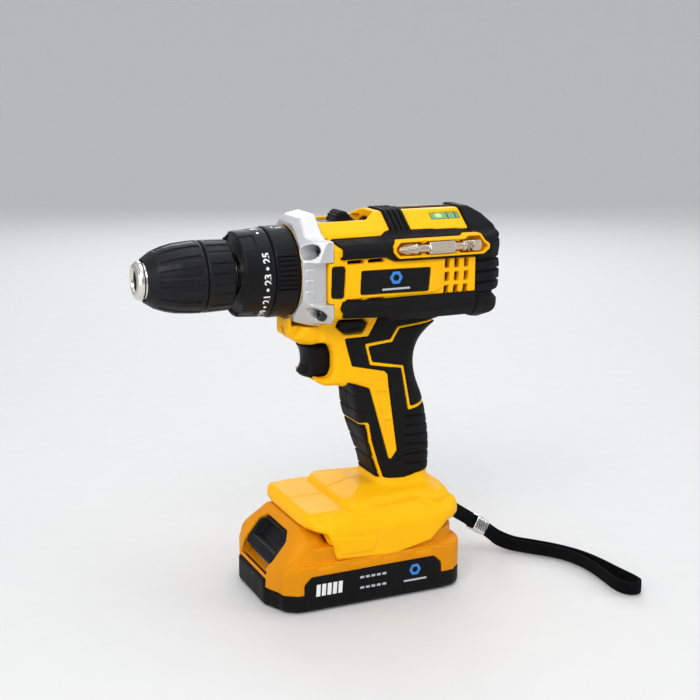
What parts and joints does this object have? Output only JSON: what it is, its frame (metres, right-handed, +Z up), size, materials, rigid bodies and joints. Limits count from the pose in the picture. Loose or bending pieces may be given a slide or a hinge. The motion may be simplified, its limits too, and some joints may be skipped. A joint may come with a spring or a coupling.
{
  "type": "cordless drill driver",
  "caption": "Pistol-grip cordless drill driver with keyless chuck, torque and mode rings, spare bit clip, level vial, wrist strap and slide-on battery.",
  "frame": {"origin": "centre of the battery's flat underside, on the surface the tool stands on", "axes": "+Z up, -X towards the chuck's nose, +X towards the rear cap, -Y the tool's left side; the chuck and motor axis is parallel to X at Z 0.1735 m"},
  "size_m": [0.2494, 0.127, 0.203],
  "materials": {
    "housing_yellow": "fine satin texture",
    "overmould_rubber": "matt",
    "label_panel": "smooth",
    "vial_green": "clear, polished",
    "bit_steel": "bright",
    "led_lens": "clear, polished",
    "black_plastic": "fine satin texture",
    "ring_plastic": "satin, with white marks",
    "sleeve_plastic": "satin",
    "chuck_steel": "bright, machined",
    "jaw_steel": "dark, ground",
    "brass_ring": "bright",
    "painted_case": "silver, satin",
    "screw_steel": "blackened",
    "gear_steel": "oiled",
    "motor_steel": "zinc plated",
    "battery_black": "fine satin texture",
    "battery_yellow": "fine satin texture",
    "cell_wrap": "shrink wrap",
    "webbing": "woven",
    "ferrule_steel": "bright"
  },
  "bodies": {
    "housing": {"housing_left": "housing_yellow", "housing_right": "housing_yellow", "upper_rail_left": "overmould_rubber", "upper_rail_right": "overmould_rubber", "grip_rubber_left": "overmould_rubber", "grip_rubber_right": "overmould_rubber", "label_plate_left": "label_panel", "label_plate_right": "label_panel", "side_insert_left": "overmould_rubber", "side_insert_right": "overmould_rubber", "palm_pad": "overmould_rubber", "finger_pad": "overmould_rubber", "rear_cap": "overmould_rubber", "level_vial": "vial_green", "bit_holder": "housing_yellow", "work_light": "led_lens", "trigger_switch": "black_plastic", "gear_case": "painted_case", "case_screw_1": "screw_steel", "case_screw_2": "screw_steel", "case_screw_3": "screw_steel", "case_screw_4": "screw_steel", "ring_retainer": "brass_ring", "ring_gear": "gear_steel", "motor_can": "motor_steel", "motor_end_plate": "black_plastic", "terminal_block": "black_plastic", "wrist_strap": "webbing", "strap_ferrule": "ferrule_steel"},
    "spindle": {"spindle": "gear_steel", "chuck_body": "chuck_steel", "chuck_rear_sleeve": "sleeve_plastic"},
    "stage_one_carrier": {"stage_one_carrier": "gear_steel"},
    "rotor": {"motor_rotor": "gear_steel", "cooling_fan": "black_plastic"},
    "output_planet_1": {"output_planet_1": "gear_steel"},
    "output_planet_2": {"output_planet_2": "gear_steel"},
    "output_planet_3": {"output_planet_3": "gear_steel"},
    "input_planet_1": {"input_planet_1": "gear_steel"},
    "input_planet_2": {"input_planet_2": "gear_steel"},
    "input_planet_3": {"input_planet_3": "gear_steel"},
    "chuck_front_sleeve": {"chuck_front_sleeve": "sleeve_plastic"},
    "chuck_jaw_1": {"chuck_jaw_1": "jaw_steel"},
    "chuck_jaw_2": {"chuck_jaw_2": "jaw_steel"},
    "chuck_jaw_3": {"chuck_jaw_3": "jaw_steel"},
    "torque_ring": {"torque_ring": "ring_plastic"},
    "mode_ring": {"mode_ring": "ring_plastic"},
    "trigger": {"trigger": "black_plastic"},
    "direction_button": {"direction_button": "black_plastic"},
    "speed_selector": {"speed_selector": "black_plastic"},
    "battery": {"battery_lower_case": "battery_black", "battery_upper_case": "battery_yellow", "battery_cell_1": "cell_wrap", "battery_cell_2": "cell_wrap", "battery_cell_3": "cell_wrap", "battery_cell_4": "cell_wrap", "battery_cell_5": "cell_wrap"},
    "battery_release_button": {"battery_release_button": "black_plastic"},
    "screwdriver_bit": {"screwdriver_bit": "bit_steel"}
  },
  "joints": [
    {"name": "spindle_spin", "type": "hinge", "parent": "housing", "child": "spindle", "pos_m": [0, 0, 0.1735], "axis": [1, 0, 0], "continuous": true},
    {"name": "stage_one_carrier_spin", "type": "hinge", "parent": "housing", "child": "stage_one_carrier", "pos_m": [0, 0, 0.1735], "axis": [1, 0, 0], "continuous": true},
    {"name": "rotor_spin", "type": "hinge", "parent": "housing", "child": "rotor", "pos_m": [0, 0, 0.1735], "axis": [1, 0, 0], "continuous": true},
    {"name": "output_planet_1_spin", "type": "hinge", "parent": "spindle", "child": "output_planet_1", "pos_m": [0, 0, 0.1855], "axis": [1, 0, 0], "continuous": true},
    {"name": "output_planet_2_spin", "type": "hinge", "parent": "spindle", "child": "output_planet_2", "pos_m": [0, 0.01039, 0.1675], "axis": [1, 0, 0], "continuous": true},
    {"name": "output_planet_3_spin", "type": "hinge", "parent": "spindle", "child": "output_planet_3", "pos_m": [0, -0.01039, 0.1675], "axis": [1, 0, 0], "continuous": true},
    {"name": "input_planet_1_spin", "type": "hinge", "parent": "stage_one_carrier", "child": "input_planet_1", "pos_m": [0, 0, 0.1855], "axis": [1, 0, 0], "continuous": true},
    {"name": "input_planet_2_spin", "type": "hinge", "parent": "stage_one_carrier", "child": "input_planet_2", "pos_m": [0, 0.01039, 0.1675], "axis": [1, 0, 0], "continuous": true},
    {"name": "input_planet_3_spin", "type": "hinge", "parent": "stage_one_carrier", "child": "input_planet_3", "pos_m": [0, -0.01039, 0.1675], "axis": [1, 0, 0], "continuous": true},
    {"name": "chuck_sleeve_turn", "type": "hinge", "parent": "spindle", "child": "chuck_front_sleeve", "pos_m": [0, 0, 0.1735], "axis": [-1, 0, 0], "range_deg": [0, 2880]},
    {"name": "chuck_jaw_1_slide", "type": "slide", "parent": "spindle", "child": "chuck_jaw_1", "axis": [-0.9703, 0, -0.2419], "range_m": [0, 0.0195]},
    {"name": "chuck_jaw_2_slide", "type": "slide", "parent": "spindle", "child": "chuck_jaw_2", "axis": [-0.9703, -0.2095, 0.121], "range_m": [0, 0.0195]},
    {"name": "chuck_jaw_3_slide", "type": "slide", "parent": "spindle", "child": "chuck_jaw_3", "axis": [-0.9703, 0.2095, 0.121], "range_m": [0, 0.0195]},
    {"name": "torque_ring_turn", "type": "hinge", "parent": "housing", "child": "torque_ring", "pos_m": [0, 0, 0.1735], "axis": [-1, 0, 0], "range_deg": [0, 306]},
    {"name": "mode_ring_turn", "type": "hinge", "parent": "housing", "child": "mode_ring", "pos_m": [0, 0, 0.1735], "axis": [-1, 0, 0], "range_deg": [-30, 30]},
    {"name": "trigger_pull", "type": "slide", "parent": "housing", "child": "trigger", "axis": [1, 0, 0], "range_m": [0, 0.007], "stiffness_N_per_m": 800, "springref_m": -0.004},
    {"name": "direction_slide", "type": "slide", "parent": "housing", "child": "direction_button", "axis": [0, 1, 0], "range_m": [-0.003, 0.003]},
    {"name": "speed_slide", "type": "slide", "parent": "housing", "child": "speed_selector", "axis": [1, 0, 0], "range_m": [0, 0.005]},
    {"name": "battery_slide", "type": "slide", "parent": "housing", "child": "battery", "axis": [-1, 0, 0], "range_m": [0, 0.1]},
    {"name": "battery_release_press", "type": "slide", "parent": "battery", "child": "battery_release_button", "axis": [-0.5, 0, -0.866], "range_m": [0, 0.0033], "stiffness_N_per_m": 600, "springref_m": -0.003},
    {"name": "bit_pull", "type": "slide", "parent": "housing", "child": "screwdriver_bit", "axis": [0, -1, 0], "range_m": [0, 0.012]}
  ],
  "couplings": [
    {"joint": "stage_one_carrier_spin", "follows": "spindle_spin", "ratio": 4},
    {"joint": "rotor_spin", "follows": "spindle_spin", "ratio": 16},
    {"joint": "output_planet_1_spin", "follows": "spindle_spin", "ratio": -3},
    {"joint": "output_planet_2_spin", "follows": "spindle_spin", "ratio": -3},
    {"joint": "output_planet_3_spin", "follows": "spindle_spin", "ratio": -3},
    {"joint": "input_planet_1_spin", "follows": "spindle_spin", "ratio": -12},
    {"joint": "input_planet_2_spin", "follows": "spindle_spin", "ratio": -12},
    {"joint": "input_planet_3_spin", "follows": "spindle_spin", "ratio": -12},
    {"joint": "chuck_jaw_1_slide", "follows": "chuck_sleeve_turn", "m_per_rad": 0.000387},
    {"joint": "chuck_jaw_2_slide", "follows": "chuck_sleeve_turn", "m_per_rad": 0.000387},
    {"joint": "chuck_jaw_3_slide", "follows": "chuck_sleeve_turn", "m_per_rad": 0.000387}
  ]
}
